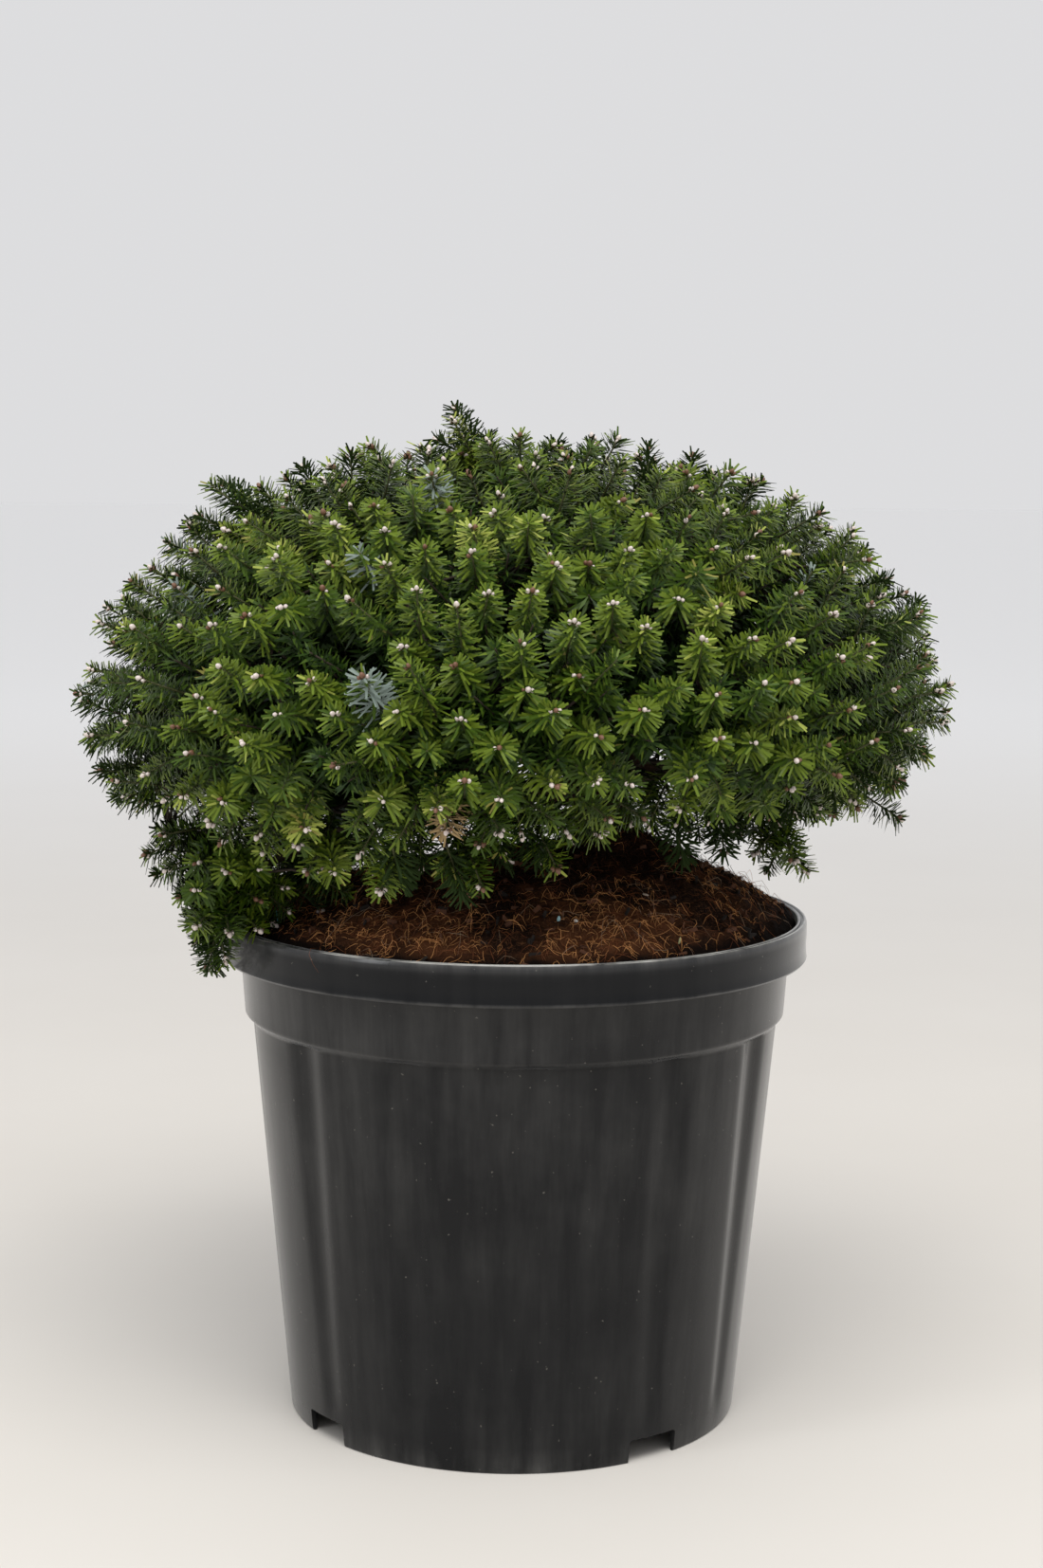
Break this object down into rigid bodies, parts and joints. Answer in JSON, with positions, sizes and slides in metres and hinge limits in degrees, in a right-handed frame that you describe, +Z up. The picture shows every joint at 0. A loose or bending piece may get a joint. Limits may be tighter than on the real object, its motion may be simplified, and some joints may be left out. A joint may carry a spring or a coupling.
{
  "type": "potted dwarf korean fir",
  "caption": "Potted dwarf conifer: a wide, dense cushion of short blunt needles on a low trunk, in a round tapering nursery pot filled with fibrous soil.",
  "frame": {"origin": "middle of the pot's flat underside", "axes": "+Z up along the pot's axis, -Y towards the plant's front, +X to the right as seen from the front"},
  "size_m": [0.4889, 0.4582, 0.5563],
  "materials": {
    "pot": "semi-matt black nursery plastic, dusty",
    "soil": "dark fibrous potting mix",
    "bark": "rough grey-brown bark",
    "needles": "waxy needles"
  },
  "bodies": {
    "root": {"pot": "pot", "soil": "soil", "trunk": "bark", "bough_lower_1": "bark", "bough_lower_2": "bark", "bough_lower_3": "bark", "bough_lower_4": "bark", "bough_lower_5": "bark", "bough_lower_6": "bark", "bough_lower_7": "bark", "bough_upper_1": "bark", "bough_upper_2": "bark", "bough_upper_3": "bark", "bough_upper_4": "bark", "bough_upper_5": "bark", "bough_weeping": "bark", "foliage_lower_1": "needles", "foliage_lower_2": "needles", "foliage_lower_3": "needles", "foliage_lower_4": "needles", "foliage_lower_5": "needles", "foliage_lower_6": "needles", "foliage_lower_7": "needles", "foliage_upper_1": "needles", "foliage_upper_2": "needles", "foliage_upper_3": "needles", "foliage_upper_4": "needles", "foliage_upper_5": "needles", "foliage_top": "needles", "foliage_weeping": "needles"}
  },
  "joints": []
}
